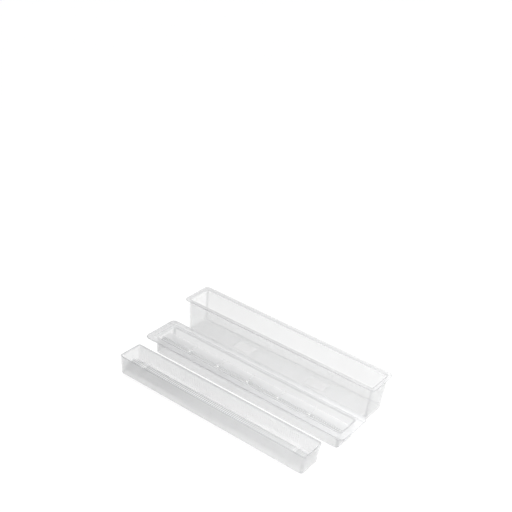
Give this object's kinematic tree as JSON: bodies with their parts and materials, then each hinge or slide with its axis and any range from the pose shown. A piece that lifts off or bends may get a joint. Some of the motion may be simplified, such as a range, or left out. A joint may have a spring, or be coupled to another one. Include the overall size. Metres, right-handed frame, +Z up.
{
  "type": "sushi rice mold",
  "caption": "Clear plastic mold for thin rice rolls: a deep outer case, a flanged mold tray with a ruled ridged web, and a narrow press with a ribbed web, lying side by side.",
  "frame": {"origin": "on the surface the pieces lie on, under the middle of the row", "axes": "+X along the pieces' length, +Y from the press towards the case, +Z up"},
  "size_m": [0.2158, 0.127, 0.035],
  "materials": {
    "outer_case_plastic": "clear, glossy, faintly hazy",
    "mold_tray_plastic": "clear, glossy, faintly hazy",
    "rice_press_plastic": "clear, glossy, faintly hazy"
  },
  "bodies": {
    "case": {"outer_case": "outer_case_plastic"},
    "tray": {"mold_tray": "mold_tray_plastic"},
    "press": {"rice_press": "rice_press_plastic"}
  },
  "joints": [
    {"name": "tray_lift", "type": "slide", "parent": "case", "child": "tray", "axis": [0, 0, 1], "range_m": [0, 0.04]},
    {"name": "press_lift", "type": "slide", "parent": "case", "child": "press", "axis": [0, 0, 1], "range_m": [0, 0.04]}
  ]
}
